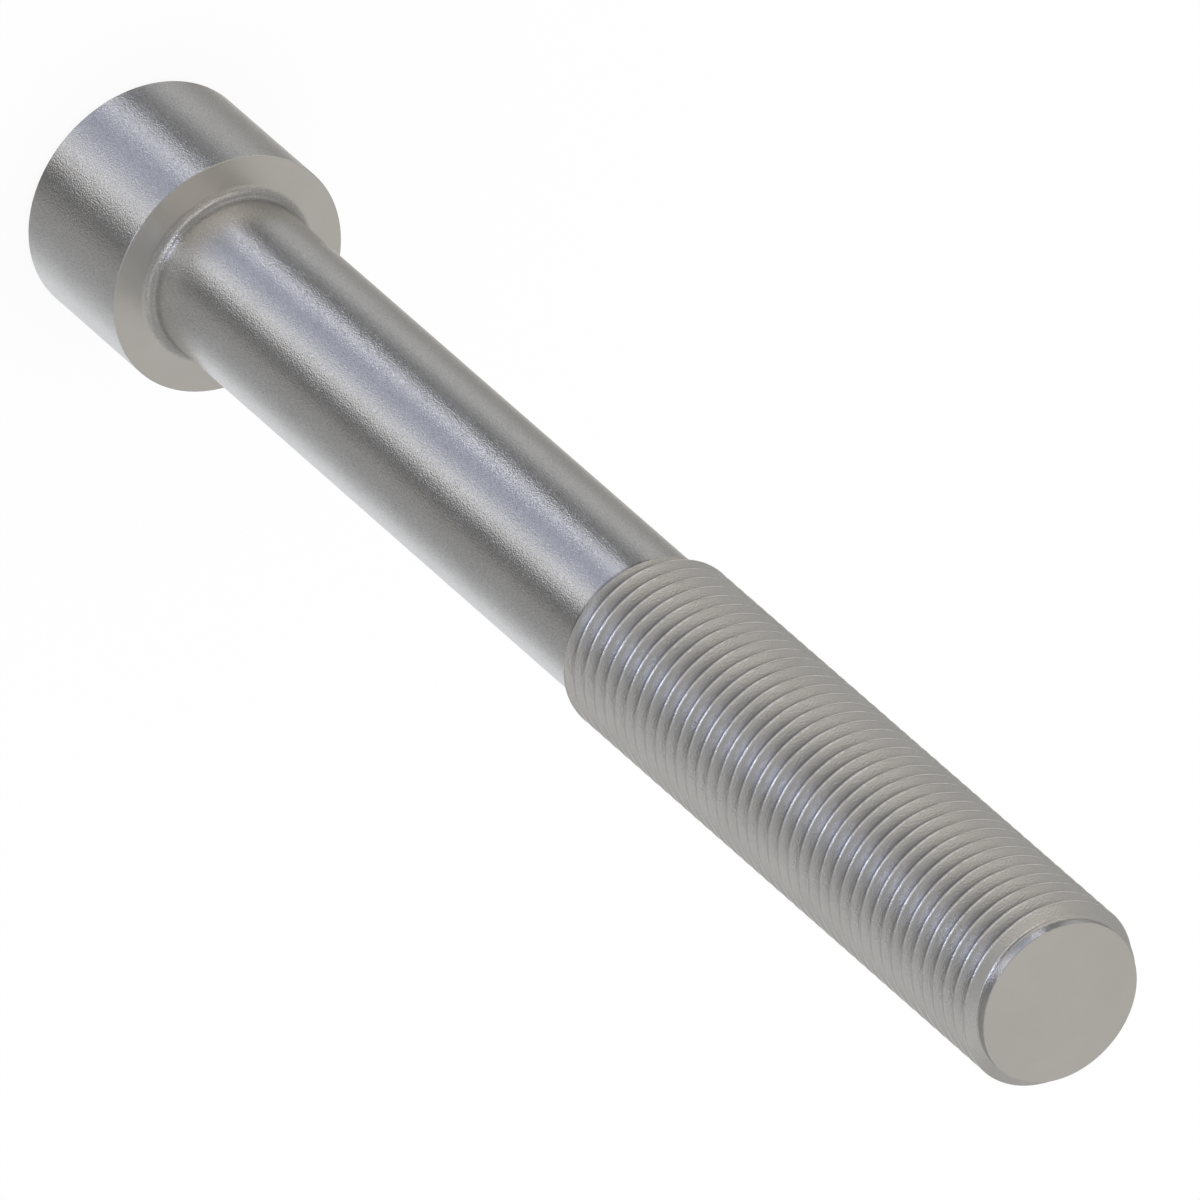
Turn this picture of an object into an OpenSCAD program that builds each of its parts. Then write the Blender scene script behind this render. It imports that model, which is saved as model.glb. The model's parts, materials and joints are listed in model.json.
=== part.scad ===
/* [Head] */
// Diameter of the cylindrical head
head_d = 18; // [16:0.5:24]
// Height of the head above its bearing face
head_h = 12; // [10:0.5:16]
// Height of the chamfer round the far end of the head
chamfer_h = 0.37; // [0.2:0.01:0.8]
// Width of that chamfer, which leans 30 degrees from the end face
chamfer_w = 0.64; // [0.2:0.01:1]

/* [Hexagon socket] */
// Width of the socket across its flats, for a 10 mm key
socket_af = 10.1; // [8:0.1:11]
// Depth of the full hexagon
socket_depth = 6.1; // [4:0.1:7]
// Depth of the shallow punched cone past the hexagon
socket_cone_h = 1; // [0.5:0.1:2]
// Flat rim left between the cone and the socket's flats
socket_rim = 0.3; // [0.1:0.1:1]
// How far the mouth's bevel reaches past the hexagon's corners
mouth_bevel = 0.25; // [0.1:0.05:0.5]

/* [Shank] */
// Length from the bearing face to the tip
length = 110; // [80:1:200]
// Diameter of the plain shank
shank_d = 12; // [10:0.5:14]
// Radius of the fillet between the shank and the bearing face
fillet_r = 0.85; // [0.6:0.05:1]

/* [Thread] */
// Length of the threaded end, measured back from the tip
thread_l = 54; // [30:1:70]
// Diameter over the thread's crests
crest_d = 13.6; // [12:0.1:15]
// Rise of the thread in one turn
pitch = 1.34; // [1:0.01:2]
// Angle between the two flanks of the thread
flank_angle = 60; // [55:1:60]
// Plain nose between the end of the thread and the tip
nose_l = 0.7; // [0.5:0.05:2]
// Diameter of the nose and of the flat tip face
nose_d = 12; // [10:0.5:12]
// Straight steps that stand for one turn of the helix
turn_steps = 24; // [12:2:32]

/* [Hidden] */
$fn = 96;

// How far a cutting shape runs past the face that it cuts
past = 0.1;

// Corner radius of the socket's hexagon
hex_r = socket_af / 2 / cos(30);

// The thread's section in shares of the pitch: the flat on the crest, the flat at the root
// and the run of one flank along the axis, from which the depth follows
crest_flat = 1 / 8;
root_flat = 3 / 16;
flank_run = (1 - crest_flat - root_flat) / 2;
thread_depth = flank_run * pitch / tan(flank_angle / 2);
crest_r = crest_d / 2;
root_r = crest_r - thread_depth;

// Corners of one ridge, each as its share of the pitch along the axis and its radius
ridge = [
    [0, root_r],
    [flank_run, crest_r],
    [flank_run + crest_flat, crest_r],
    [2 * flank_run + crest_flat, root_r]
];

// Where the thread starts and ends, measured from the bearing face
thread_start = length - thread_l;
thread_end = length - nose_l;

// Turns of the ridge, with a spare one before the start and one after the end
turns = ceil((thread_end - thread_start + past) / pitch) + 3;

// The head is a turned cylinder from its chamfered end up to the bearing face at z = 0.
module head() {
    rotate_extrude()
        polygon([
            [0, -head_h],
            [head_d / 2 - chamfer_w, -head_h],
            [head_d / 2, -head_h + chamfer_h],
            [head_d / 2, 0],
            [0, 0]
        ]);
}

// The socket is a punched hexagon with a shallow cone at its bottom and a bevelled mouth.
module socket() {
    bevel_r = hex_r + mouth_bevel;
    bevel_h = bevel_r * tan(30);
    cylinder(h = socket_depth, r = hex_r, $fn = 6);
    translate([0, 0, socket_depth])
        cylinder(h = socket_cone_h, d1 = socket_af - 2 * socket_rim, d2 = 0);
    cylinder(h = bevel_h, r1 = bevel_r, r2 = 0);
    translate([0, 0, -past])
        cylinder(h = past, r = bevel_r);
}

// The fillet is a concave quarter round that carries the shank into the bearing face.
module fillet() {
    rotate_extrude()
        difference() {
            square([shank_d / 2 + fillet_r, fillet_r]);
            translate([shank_d / 2 + fillet_r, fillet_r])
                circle(fillet_r);
        }
}

// One corner of the ridge on one step of one turn. Those before the start and after the end
// lie on the core in two flat rings, a little past both.
function helix_point(step, turn, corner) =
    let (
        along = thread_start + pitch * (turn - 2 + step / turn_steps + corner[0]),
        low = thread_start - past,
        high = thread_end + past,
        on_helix = along > low && along < high,
        r = on_helix ? corner[1] : root_r,
        a = 360 * step / turn_steps
    )
    [r * cos(a), r * sin(a), min(max(along, low), high)];

// A closed rod with the ridge swept round it as a right-hand helix. Each step holds a row of
// corners along the axis, and the last step joins the first one ridge further on.
module helical_rod() {
    row = len(ridge) * turns;
    points = [
        for (step = [0 : turn_steps - 1], turn = [0 : turns - 1], corner = ridge)
            helix_point(step, turn, corner)
    ];
    function at(step, i) =
        step < turn_steps ? step * row + i : min(i + len(ridge), row - 1);
    sides = [
        for (step = [0 : turn_steps - 1], i = [0 : row - 2])
            [at(step, i), at(step, i + 1), at(step + 1, i + 1), at(step + 1, i)]
    ];
    low_cap = [for (step = [0 : turn_steps - 1]) at(step, 0)];
    high_cap = [for (step = [turn_steps - 1 : -1 : 0]) at(step, row - 1)];
    polyhedron(points, concat(sides, [low_cap, high_cap]), convexity = 10);
}

// The threaded length, with both ends of the ridge cut back along a flank's slope.
module thread() {
    core_r = root_r - past;
    over_r = crest_r + past;
    bevel_l = (over_r - core_r) * tan(flank_angle / 2);
    intersection() {
        helical_rod();
        rotate_extrude()
            polygon([
                [0, thread_start],
                [core_r, thread_start],
                [over_r, thread_start + bevel_l],
                [over_r, thread_end - bevel_l],
                [core_r, thread_end],
                [0, thread_end]
            ]);
    }
}

// The whole screw is one piece: the origin is the centre of the bearing face, and the shank
// points up, so that it stands on its head.
module screw() {
    color([0.66, 0.66, 0.65])
        union() {
            difference() {
                head();
                translate([0, 0, -head_h])
                    socket();
            }
            fillet();
            cylinder(h = thread_start, d = shank_d);
            thread();
            translate([0, 0, thread_end])
                cylinder(h = nose_l, d = nose_d);
        }
}

screw();
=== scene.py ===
import json
import math

import bmesh
import bpy
from mathutils import Matrix, Vector


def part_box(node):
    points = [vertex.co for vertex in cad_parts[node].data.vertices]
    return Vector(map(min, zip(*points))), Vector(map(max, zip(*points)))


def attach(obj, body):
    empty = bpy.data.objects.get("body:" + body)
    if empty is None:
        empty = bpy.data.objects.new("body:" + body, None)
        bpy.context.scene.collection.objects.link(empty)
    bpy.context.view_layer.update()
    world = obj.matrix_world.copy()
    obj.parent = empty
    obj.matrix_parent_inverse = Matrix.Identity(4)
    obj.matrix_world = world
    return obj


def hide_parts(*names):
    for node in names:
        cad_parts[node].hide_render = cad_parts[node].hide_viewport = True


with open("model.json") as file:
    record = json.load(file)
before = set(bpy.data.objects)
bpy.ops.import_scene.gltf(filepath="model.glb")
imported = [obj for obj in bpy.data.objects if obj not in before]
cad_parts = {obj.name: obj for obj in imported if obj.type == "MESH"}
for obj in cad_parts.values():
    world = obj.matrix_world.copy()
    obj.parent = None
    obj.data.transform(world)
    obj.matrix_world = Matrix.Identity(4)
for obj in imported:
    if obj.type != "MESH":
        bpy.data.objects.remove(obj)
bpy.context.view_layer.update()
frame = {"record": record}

# The thread: a fine right-hand thread rolled onto the last half of a steel rod. One section
# of the ridge is drawn point by point, turned into a helix, and cut back at both ends along
# the slope of a flank.
mm = 0.001
around = 96
mounts = {mount["name"]: mount for mount in frame["record"]["mounts"]}
crest_r = mounts["thread"]["dims"]["r_mm"] * mm
thread_start = mounts["thread"]["pos_m"][2]
thread_end = thread_start + mounts["thread"]["dims"]["length_mm"] * mm
pitch = 1.34 * mm
crest_flat = pitch / 8
root_flat = pitch * 3 / 16
flank_run = (pitch - crest_flat - root_flat) / 2
flank_angle = math.radians(60)
flank_slope = math.tan(flank_angle / 2)
thread_depth = flank_run / flank_slope
root_r = crest_r - thread_depth
crest_round = 0.075 * mm
root_round = 0.06 * mm
weld = 0.001 * mm
spare_turns = 2
turns = math.ceil((thread_end - thread_start) / pitch) + 2 * spare_turns


def start_editing(piece):
    """Opens a piece in edit mode with nothing selected."""
    bpy.ops.object.select_all(action="DESELECT")
    bpy.context.view_layer.objects.active = piece
    piece.select_set(True)
    bpy.ops.object.mode_set(mode="EDIT")
    bpy.ops.mesh.select_all(action="DESELECT")


def stop_editing():
    """Goes back to object mode."""
    bpy.ops.object.mode_set(mode="OBJECT")


def pick(piece, kind, wanted):
    """Selects just the vertices, edges or faces that pass a test, in edit mode."""
    bpy.ops.mesh.select_all(action="DESELECT")
    bpy.ops.mesh.select_mode(type={"verts": "VERT", "edges": "EDGE", "faces": "FACE"}[kind])
    mesh = bmesh.from_edit_mesh(piece.data)
    for element in getattr(mesh, kind):
        if wanted(element):
            element.select_set(True)
    mesh.select_flush_mode()
    bmesh.update_edit_mesh(piece.data)


def apply_modifier(piece, name):
    """Makes one modifier's result the piece's own mesh."""
    bpy.ops.object.select_all(action="DESELECT")
    bpy.context.view_layer.objects.active = piece
    piece.select_set(True)
    bpy.ops.object.modifier_apply(modifier=name)


def cut_with(piece, tool, operation):
    """Cuts a piece with a second closed piece, which is then thrown away."""
    cut = piece.modifiers.new("cut", "BOOLEAN")
    cut.operation = operation
    cut.solver = "EXACT"
    cut.object = tool
    apply_modifier(piece, "cut")
    bpy.data.objects.remove(tool)


def centre_origin():
    """Puts the active piece's origin at the frame's origin, with its place in its mesh."""
    bpy.ops.object.transform_apply(location=True, rotation=True, scale=True)
    return bpy.context.object


bpy.ops.object.select_all(action="DESELECT")
section_foot = thread_start - spare_turns * pitch - root_flat / 2
bpy.ops.mesh.primitive_plane_add(size=pitch, location=(root_r, 0, section_foot))
screw = centre_origin()
screw.name = "cap_screw"
start_editing(screw)
bpy.ops.mesh.select_all(action="SELECT")
bpy.ops.mesh.merge(type="CENTER")
for out, along in (
    (0, root_flat / 2),
    (thread_depth, flank_run),
    (0, crest_flat),
    (-thread_depth, flank_run),
    (0, root_flat / 2),
):
    bpy.ops.mesh.extrude_region_move(TRANSFORM_OT_translate={"value": (out, 0, along)})
pick(screw, "verts", lambda v: v.co.x > crest_r - crest_round)
bpy.ops.mesh.bevel(offset=crest_round, segments=2, affect="VERTICES")
pick(screw, "verts", lambda v: v.co.x < root_r + weld and len(v.link_edges) == 2)
bpy.ops.mesh.bevel(offset=root_round, segments=2, affect="VERTICES")
stop_editing()

helix = screw.modifiers.new("helix", "SCREW")
helix.axis = "Z"
helix.angle = 2 * math.pi
helix.screw_offset = pitch
helix.iterations = turns
helix.steps = around
helix.render_steps = around
apply_modifier(screw, "helix")

start_editing(screw)
bpy.ops.mesh.select_all(action="SELECT")
bpy.ops.mesh.remove_doubles(threshold=weld)
bpy.ops.mesh.bisect(
    plane_co=(0, 0, thread_start - pitch / 2),
    plane_no=(0, 0, 1),
    use_fill=True,
    clear_inner=True,
    threshold=weld / 10,
)
bpy.ops.mesh.select_all(action="SELECT")
bpy.ops.mesh.bisect(
    plane_co=(0, 0, thread_end + pitch / 2),
    plane_no=(0, 0, 1),
    use_fill=True,
    clear_outer=True,
    threshold=weld / 10,
)
bpy.ops.mesh.select_all(action="SELECT")
bpy.ops.mesh.normals_make_consistent(inside=False)
stop_editing()


def draw_out(along, widen=1.0):
    """Pulls the selected end face along the axis and widens or narrows it about the axis."""
    bpy.ops.mesh.extrude_region_move(TRANSFORM_OT_translate={"value": (0, 0, along)})
    bpy.ops.transform.resize(value=(widen, widen, 1), center_override=(0, 0, 0))


def end_face(height):
    """A test for the flat end face at one height."""
    return lambda f: len(f.verts) > 4 and all(abs(v.co.z - height) < weld for v in f.verts)


overlap = 0.02 * mm
die_room = 0.1 * mm
core_r = root_r - overlap
over_r = crest_r + die_room
bevel_l = (over_r - core_r) * flank_slope
bpy.ops.mesh.primitive_cylinder_add(
    vertices=around,
    radius=over_r,
    depth=thread_end - thread_start - 2 * bevel_l,
    location=(0, 0, (thread_start + thread_end) / 2),
)
die = centre_origin()
start_editing(die)
pick(die, "faces", end_face(thread_start + bevel_l))
draw_out(-bevel_l, core_r / over_r)
pick(die, "faces", end_face(thread_end - bevel_l))
draw_out(bevel_l, core_r / over_r)
stop_editing()
cut_with(screw, die, "INTERSECT")

# The shank and the head: the rod runs on plain to a quarter round under the head, which is
# cold forged and turned. Each edge is broken by a few hundredths of a millimetre.
low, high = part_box("screw")
head_r = high.x
head_end = low.z
shank_r = mounts["shank"]["dims"]["r_mm"] * mm
fillet_r = 0.85 * mm
chamfer_h = 0.37 * mm
chamfer_w = 0.64 * mm
edge_break = 0.05 * mm
support = 0.3 * mm


def ring(radius, height):
    """A test for the edges of the circle at one radius and height."""
    return lambda e: all(
        abs(v.co.z - height) < weld and abs(v.co.xy.length - radius) < weld * 5 for v in e.verts
    )


start_editing(screw)
pick(screw, "faces", end_face(thread_start))
draw_out(0, shank_r / core_r)
draw_out(-support)
draw_out(-(thread_start - support) + fillet_r + support)
draw_out(-fillet_r - support)
draw_out(0, head_r / shank_r)
draw_out(head_end + chamfer_h)
draw_out(-chamfer_h, 1 - chamfer_w / head_r)
pick(screw, "edges", ring(shank_r, 0))
bpy.ops.mesh.bevel(offset=fillet_r, segments=10, affect="EDGES")
for radius, height in (
    (head_r, 0),
    (head_r, head_end + chamfer_h),
    (head_r - chamfer_w, head_end),
):
    pick(screw, "edges", ring(radius, height))
    bpy.ops.mesh.bevel(offset=edge_break, segments=2, affect="EDGES")

# The tip: a short plain nose of the same rod, about as thick as the thread's root. It has no
# point, and is faced off flat.
tip = high.z
pick(screw, "faces", end_face(thread_end))
draw_out(tip - thread_end)
pick(screw, "edges", ring(core_r, tip))
bpy.ops.mesh.bevel(offset=edge_break, segments=2, affect="EDGES")
stop_editing()

# The hexagon socket: punched into the head for a key of 10 mm, with slightly rounded
# corners, a shallow cone at the bottom and a bevelled mouth.
socket_af = 10.1 * mm
socket_depth = mounts["hex_socket"]["dims"]["length_mm"] * mm
socket_cone_h = 1 * mm
socket_rim = 0.3 * mm
mouth_bevel = 0.25 * mm
corner_round = 0.15 * mm
past = 0.5 * mm
hex_turn = math.radians(30)
mouth_slope = math.tan(math.radians(30))
hex_r = socket_af / 2 / math.cos(hex_turn)

bpy.ops.mesh.primitive_cylinder_add(
    vertices=6,
    radius=hex_r,
    depth=socket_depth + past,
    location=(0, 0, head_end + (socket_depth - past) / 2),
    rotation=(0, 0, hex_turn),
)
punch = centre_origin()
start_editing(punch)
pick(punch, "edges", lambda e: abs(e.verts[0].co.z - e.verts[1].co.z) > past)
bpy.ops.mesh.bevel(offset=corner_round, segments=3, affect="EDGES")
stop_editing()
cut_with(screw, punch, "DIFFERENCE")

cone_slope = (socket_af / 2 - socket_rim) / socket_cone_h
cone_l = socket_cone_h + overlap
bpy.ops.mesh.primitive_cone_add(
    vertices=around,
    radius1=cone_l * cone_slope,
    radius2=0,
    depth=cone_l,
    location=(0, 0, head_end + socket_depth + socket_cone_h - cone_l / 2),
)
cut_with(screw, centre_origin(), "DIFFERENCE")

mouth_l = (hex_r + mouth_bevel) * mouth_slope + past
bpy.ops.mesh.primitive_cone_add(
    vertices=around,
    radius1=mouth_l / mouth_slope,
    radius2=0,
    depth=mouth_l,
    location=(0, 0, head_end - past + mouth_l / 2),
)
cut_with(screw, centre_origin(), "DIFFERENCE")

sharp_angle = math.radians(14)
start_editing(screw)
bpy.ops.mesh.select_all(action="SELECT")
bpy.ops.mesh.remove_doubles(threshold=weld)
bpy.ops.mesh.normals_make_consistent(inside=False)
stop_editing()
bpy.ops.object.shade_smooth_by_angle(angle=sharp_angle)

# The steel: bare, bead-blasted to an even satin, which breaks a highlight into fine sparkle.
# The flat faces are turned smooth and the thread's flanks are rolled smooth. A painted shade darkens
# the thread's root and foot and the corner under the head.
steel_colour = (0.6, 0.588, 0.567)
steel_roughness = 0.286
roughness_spread = 0.01
grain_size = 0.11 * mm
grain_height = 0.0185 * mm
speck_size = 0.05 * mm
speck_tone = 1.3
face_smoothness = 0.85
thread_smoothness = 0.8
mottle_size = 4 * mm
mottle_tone = 0.02
mottle_low = 0.3
mottle_high = 0.7
noise_mean = 0.5
# painted shade: the thread's roots and the shank at the thread's foot are painted darker
root_shade_tone = 0.54
# painted shade on the fillet, in the corner under the head
fillet_shade_tone = 0.78
root_shade_width = 0.26 * mm
foot_start = 0.65 * mm
foot_end = 0.4 * mm
# heights on the fillet where its painted shade starts, is darkest, fades and ends
corner_start = 0
corner_dark = fillet_r * 0.1
corner_fading = fillet_r * 0.3
corner_end = fillet_r * 0.6


class Value:
    """A socket of a material that takes part in sums as a number does."""

    def __init__(self, finish, socket):
        self.finish = finish
        self.socket = socket

    def maths(self, operation, *others):
        """Another sum that starts with this value."""
        return self.finish.node("ShaderNodeMath", {"operation": operation}, self, *others)

    def ramp(self, start, end, low=0.0, high=1.0):
        """A value that runs smoothly from low to high as this one goes from start to end."""
        return self.finish.node(
            "ShaderNodeMapRange", {"interpolation_type": "SMOOTHSTEP"}, self, start, end, low, high
        )

    def __add__(self, other):
        return self.maths("ADD", other)

    def __sub__(self, other):
        return self.maths("SUBTRACT", other)

    def __rsub__(self, other):
        return self * -1 + other

    def __mul__(self, other):
        return self.maths("MULTIPLY", other)

    __radd__ = __add__
    __rmul__ = __mul__


class Finish:
    """A material and the nodes that it is made of."""

    def __init__(self, owner):
        owner.use_nodes = True
        self.tree = owner.node_tree
        self.tree.nodes.clear()

    def node(self, kind, settings=None, *inputs, output=0, **named):
        """Adds a node: its settings first, then the values or links of its sockets."""
        node = self.tree.nodes.new(kind)
        for name, setting in (settings or {}).items():
            if name == "stops":
                self.set_stops(node.color_ramp, setting)
            else:
                setattr(node, name, setting)
        for key, given in [*enumerate(inputs), *named.items()]:
            socket = node.inputs[key.replace("_", " ") if isinstance(key, str) else key]
            if isinstance(given, Value):
                self.tree.links.new(given.socket, socket)
            elif given is not None:
                socket.default_value = given
        return Value(self, node.outputs[output]) if node.outputs else node

    def set_stops(self, ramp, stops):
        """Gives a colour ramp its stops, each a position and a colour."""
        while len(ramp.elements) > 1:
            ramp.elements.remove(ramp.elements[-1])
        for i, (position, colour) in enumerate(stops):
            stop = ramp.elements[0] if i == 0 else ramp.elements.new(position)
            stop.position = position
            stop.color = (*colour, 1)


steel = bpy.data.materials.new("satin_steel")
finish = Finish(steel)
place = finish.node("ShaderNodeTexCoord", output="Object")
grain = finish.node(
    "ShaderNodeTexNoise", {"noise_dimensions": "3D"}, Vector=place, Scale=1 / grain_size, Detail=0.0
)
mottle = finish.node(
    "ShaderNodeTexNoise", {"noise_dimensions": "3D"}, Vector=place, Scale=1 / mottle_size, Detail=3.0
)
split = finish.node("ShaderNodeSeparateXYZ", None, place)
x = Value(finish, split.socket.node.outputs["X"])
y = Value(finish, split.socket.node.outputs["Y"])
z = Value(finish, split.socket.node.outputs["Z"])
off_axis = (x * x + y * y).maths("SQRT")
# painted shade: darker towards the thread's root radius, only within the thread and at its foot
depth = off_axis.ramp(root_r, root_r + root_shade_width, root_shade_tone, 1.0)
rolled = z.ramp(thread_start - foot_start, thread_start - foot_end)
in_thread = rolled * z.maths("LESS_THAN", thread_end - pitch)
# painted shade: a darker ring on the fillet in the corner under the head
painted_corner_shade = z.ramp(corner_start, corner_dark) * (1 - z.ramp(corner_fading, corner_end))
on_face = sum(z.maths("COMPARE", height, edge_break / 2) for height in (tip, 0, head_end))
blasted = 1 - on_face * face_smoothness
speck = finish.node(
    "ShaderNodeTexNoise", {"noise_dimensions": "3D"}, Vector=place, Scale=1 / speck_size, Detail=0.0
)
tone = mottle.ramp(mottle_low, mottle_high, 1 - mottle_tone, 1 + mottle_tone)
# painted shade darkens the thread's roots and foot and the corner under the head
tone = tone * (1 - in_thread * (1 - depth)) * (1 - painted_corner_shade * (1 - fillet_shade_tone))
sparkle = (speck - noise_mean) * speck_tone * blasted * (1 - rolled * thread_smoothness)
tone = tone * (1 + sparkle)
shade = finish.node("ShaderNodeVectorMath", {"operation": "SCALE"}, steel_colour, Scale=tone)
bumps = finish.node(
    "ShaderNodeBump", None, Strength=1.0, Distance=grain_height, Height=grain * blasted
)
surface = finish.node(
    "ShaderNodeBsdfPrincipled",
    None,
    Base_Color=shade,
    Metallic=1.0,
    Roughness=(mottle - noise_mean) * roughness_spread + steel_roughness,
    Normal=bumps,
)
finish.node("ShaderNodeOutputMaterial", None, Surface=surface)
screw.data.materials.clear()
screw.data.materials.append(steel)

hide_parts("screw")
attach(screw, "root")

# The table: a plain white sheet that the screw stands on. It is white to the eye and keeps a
# faint shadow.
table_side = 8
table_glow = 0.9
bpy.ops.mesh.primitive_plane_add(size=table_side, location=(0, 0, head_end))
table = centre_origin()
table.name = "table"
sheet = bpy.data.materials.new("white_sheet")
finish = Finish(sheet)
seen_by_eye = finish.node("ShaderNodeLightPath", output="Is Camera Ray")
seen_in_steel = finish.node("ShaderNodeLightPath", output="Is Glossy Ray")
seen_in_glass = finish.node("ShaderNodeLightPath", output="Is Transmission Ray")
paper = finish.node("ShaderNodeBsdfDiffuse", None, Color=(1, 1, 1, 1))
glow = finish.node("ShaderNodeEmission", None, Color=(1, 1, 1, 1), Strength=1.0)
seen = seen_by_eye + seen_in_steel + seen_in_glass
mixed = finish.node("ShaderNodeMixShader", None, seen * table_glow, paper, glow)
finish.node("ShaderNodeOutputMaterial", None, Surface=mixed)
table.data.materials.append(sheet)
table.visible_glossy = False

# The studio: an even white room, and round the screw a drum of grey, white and dark cards that
# only the steel sees. Their colours draw the long bands along the steel.
room = bpy.data.worlds.new("white_room")
bpy.context.scene.world = room
finish = Finish(room)
light = finish.node("ShaderNodeBackground", None, Color=(1, 1, 1, 1), Strength=1.0)
finish.node("ShaderNodeOutputWorld", None, Surface=light)

grey = (0.98, 1.0, 1.04)
neutral = (1.0, 1.0, 1.0)
cool = (0.95, 0.98, 1.1)
blue = (0.88, 0.94, 1.19)
deep_blue = (0.82, 0.91, 1.28)
warm = (1.035, 1.0, 0.955)
drum_r = 1.5
drum_foot = -14
low_foot = -3.3
middle_foot = -0.6
waist_foot = -0.15
belt_foot = 0.5
high_foot = 1.1
drum_head = 1.85


def hang_cards(screen, cards):
    """Gives a screen its cards and shows it to the steel alone. Each card is a bearing, in
    degrees from the camera's side of the screw towards the upper right of the view, with how
    bright it is there and its tint."""
    paper = bpy.data.materials.new(screen.name)
    finish = Finish(paper)
    split = finish.node(
        "ShaderNodeSeparateXYZ", None, finish.node("ShaderNodeTexCoord", output="Object")
    )
    x = Value(finish, split.socket.node.outputs["X"])
    y = Value(finish, split.socket.node.outputs["Y"])
    bearing = (x * -1).maths("ARCTAN2", y * -1)
    share = bearing * (0.5 / math.pi) + 0.5
    stops = [
        (0.5 + degrees / 360, tuple(bright * c for c in tint)) for degrees, bright, tint in cards
    ]
    tone = finish.node("ShaderNodeValToRGB", {"stops": stops}, share)
    glow = finish.node("ShaderNodeEmission", None, Color=tone, Strength=1.0)
    finish.node("ShaderNodeOutputMaterial", None, Surface=glow)
    screen.data.materials.append(paper)
    screen.visible_camera = False
    screen.visible_diffuse = False
    screen.visible_shadow = False
    screen.visible_transmission = False


def wall(name, foot, head, cards):
    """One ring of the drum's wall, between two heights."""
    bpy.ops.mesh.primitive_cylinder_add(
        vertices=around,
        radius=drum_r,
        depth=head - foot,
        location=(0, 0, (foot + head) / 2),
        end_fill_type="NOTHING",
    )
    ring_of_cards = centre_origin()
    ring_of_cards.name = name
    hang_cards(ring_of_cards, cards)


floor_cards = [
    (-180, 0.1, grey),
    (180, 0.1, grey),
]
low_wall = [
    (-180, 0.87, grey),
    (-150, 0.98, grey),
    (-134, 1.08, grey),
    (-120, 0.82, grey),
    (-108, 0.6, grey),
    (-90, 0.43, grey),
    (-60, 0.45, neutral),
    (-50, 0.26, neutral),
    (-42, 0.1, neutral),
    (-32, 0.08, neutral),
    (-18, 0.88, neutral),
    (-13, 1.22, neutral),
    (-3, 1.14, cool),
    (4, 0.68, cool),
    (14, 0.67, blue),
    (30, 0.46, blue),
    (42, 0.44, blue),
    (44, 2.5, cool),
    (49, 2.5, cool),
    (51, 0.34, neutral),
    (57, 0.12, grey),
    (74, 0.11, grey),
    (83, 0.46, grey),
    (95, 0.77, grey),
    (106, 0.62, neutral),
    (118, 0.43, neutral),
    (140, 0.33, warm),
    (150, 0.46, warm),
    (166, 0.96, neutral),
    (180, 0.87, grey),
]
middle_wall = [
    (-180, 0.74, neutral),
    (-150, 0.9, neutral),
    (-130, 0.92, neutral),
    (-100, 0.8, neutral),
    (-85, 0.58, grey),
    (-66, 0.48, grey),
    (-56, 0.42, grey),
    (-32, 0.3, grey),
    (-28, 4.0, deep_blue),
    (-16, 4.0, deep_blue),
    (-12, 0.5, cool),
    (26, 0.5, neutral),
    (40, 1.1, warm),
    (54, 1.1, warm),
    (64, 0.9, warm),
    (80, 1.1, warm),
    (125, 1.3, warm),
    (150, 0.85, warm),
    (180, 0.74, warm),
]
waist = [
    (-180, 0.52, neutral),
    (-110, 0.55, neutral),
    (-60, 0.45, neutral),
    (-30, 0.35, neutral),
    (30, 0.35, neutral),
    (75, 0.45, neutral),
    (180, 0.52, neutral),
]
belt = [
    (-180, 0.52, neutral),
    (-110, 0.55, neutral),
    (-60, 0.4, neutral),
    (-30, 0.32, neutral),
    (-25, 4.2, cool),
    (-19, 4.2, cool),
    (-14, 0.32, neutral),
    (40, 0.35, neutral),
    (110, 0.5, neutral),
    (180, 0.52, neutral),
]
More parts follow.
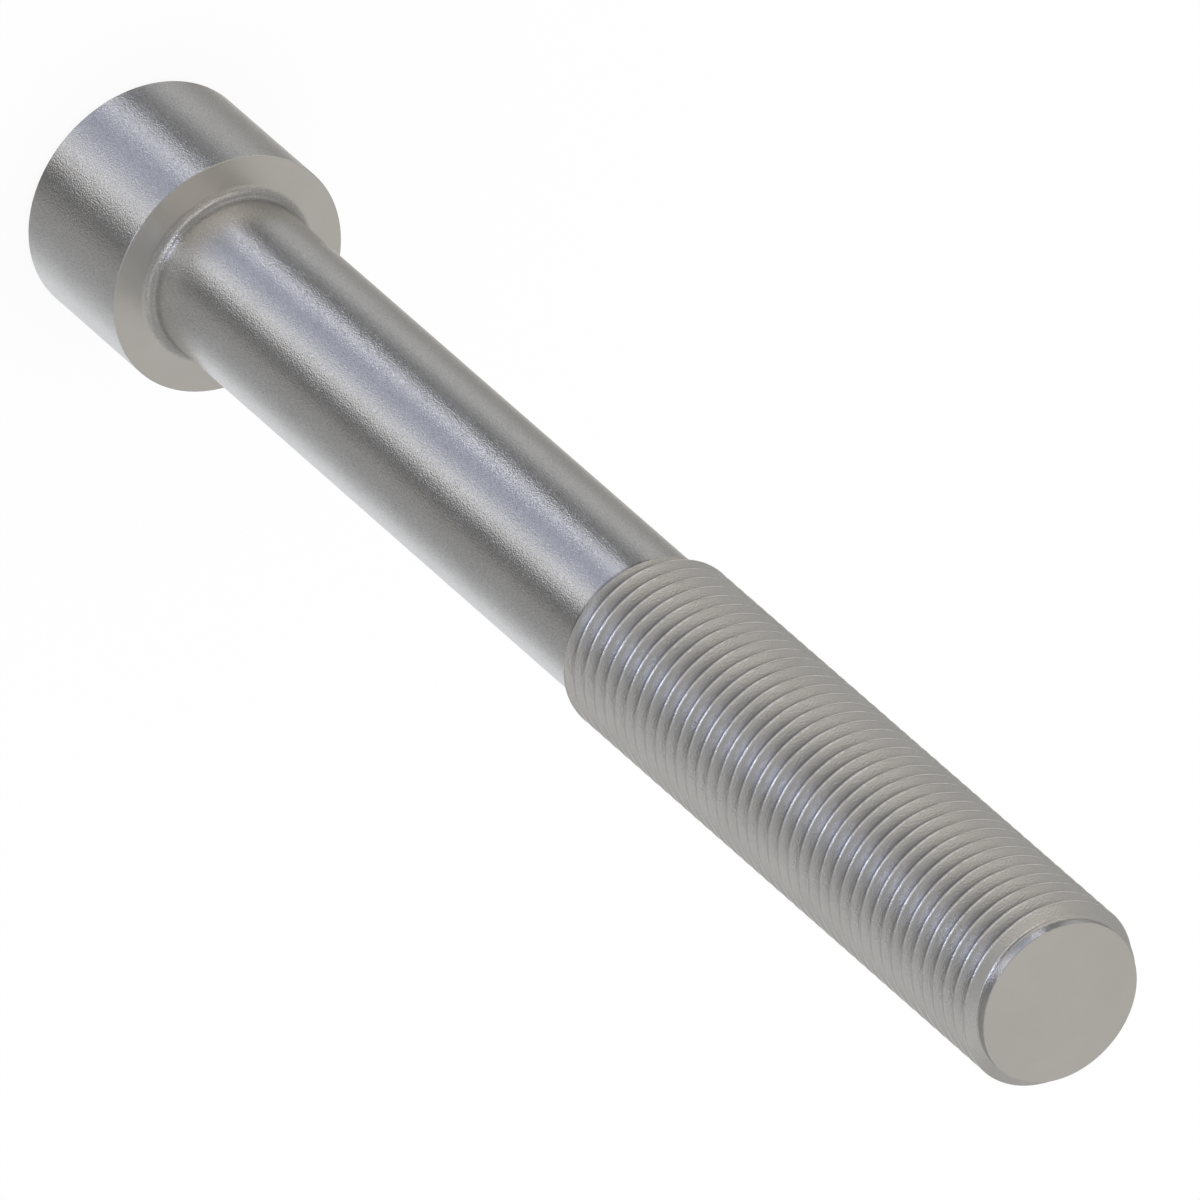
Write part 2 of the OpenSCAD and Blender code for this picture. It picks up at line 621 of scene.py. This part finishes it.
high_wall = [
    (-180, 0.665, warm),
    (-146, 0.72, neutral),
    (-109, 0.75, neutral),
    (-77, 0.95, neutral),
    (-60, 0.92, grey),
    (-28, 0.76, grey),
    (0, 0.98, warm),
    (20, 1.5, warm),
    (50, 1.48, warm),
    (70, 1.2, warm),
    (90, 0.84, warm),
    (109, 0.46, warm),
    (135, 0.64, warm),
    (180, 0.665, warm),
]
lid_cards = [
    (-180, 0.665, warm),
    (-110, 0.5, neutral),
    (-85, 0.5, neutral),
    (-69, 0.44, grey),
    (-50, 0.42, grey),
    (0, 0.48, neutral),
    (50, 0.6, warm),
    (69, 0.65, warm),
    (90, 0.6, warm),
    (110, 0.5, warm),
    (180, 0.665, warm),
]
wall("floor_cards", drum_foot, low_foot, floor_cards)
wall("low_wall", low_foot, middle_foot, low_wall)
wall("middle_wall", middle_foot, waist_foot, middle_wall)
wall("waist", waist_foot, belt_foot, waist)
wall("belt", belt_foot, high_foot, belt)
wall("high_wall", high_foot, drum_head, high_wall)
bpy.ops.mesh.primitive_circle_add(
    vertices=around, radius=drum_r, fill_type="NGON", location=(0, 0, drum_head)
)
lid = centre_origin()
lid.name = "lid"
hang_cards(lid, lid_cards)

# The camera looks down on the standing screw from the tip's side, from far off with a long
# lens, and is rolled so that the shank runs to the lower right as in the photograph.
frame_width = 81.08 * mm
lens = 1500
sensor = 36
from_axis = math.radians(42.71)
screen_angle = math.radians(41.21)
aim = Vector((0, 0, 49.84 * mm))
towards = Vector((0, -math.sin(from_axis), math.cos(from_axis)))
up_screen = (Vector((0, 0, 1)) - towards * math.cos(from_axis)).normalized()
right_flat = Vector((1, 0, 0))
roll = math.radians(90) + screen_angle
right = right_flat * math.cos(roll) + up_screen * math.sin(roll)
top = towards.cross(right)
distance = frame_width / 2 / (sensor / 2 / lens)
camera_data = bpy.data.cameras.new("camera")
camera_data.lens = lens
camera_data.sensor_width = sensor
camera_data.clip_end = 20
camera = bpy.data.objects.new("camera", camera_data)
bpy.context.scene.collection.objects.link(camera)
camera.matrix_world = Matrix.Translation(aim + towards * distance) @ Matrix(
    (right, top, towards)
).transposed().to_4x4()
bpy.context.scene.camera = camera
bpy.context.scene.view_settings.view_transform = "Standard"
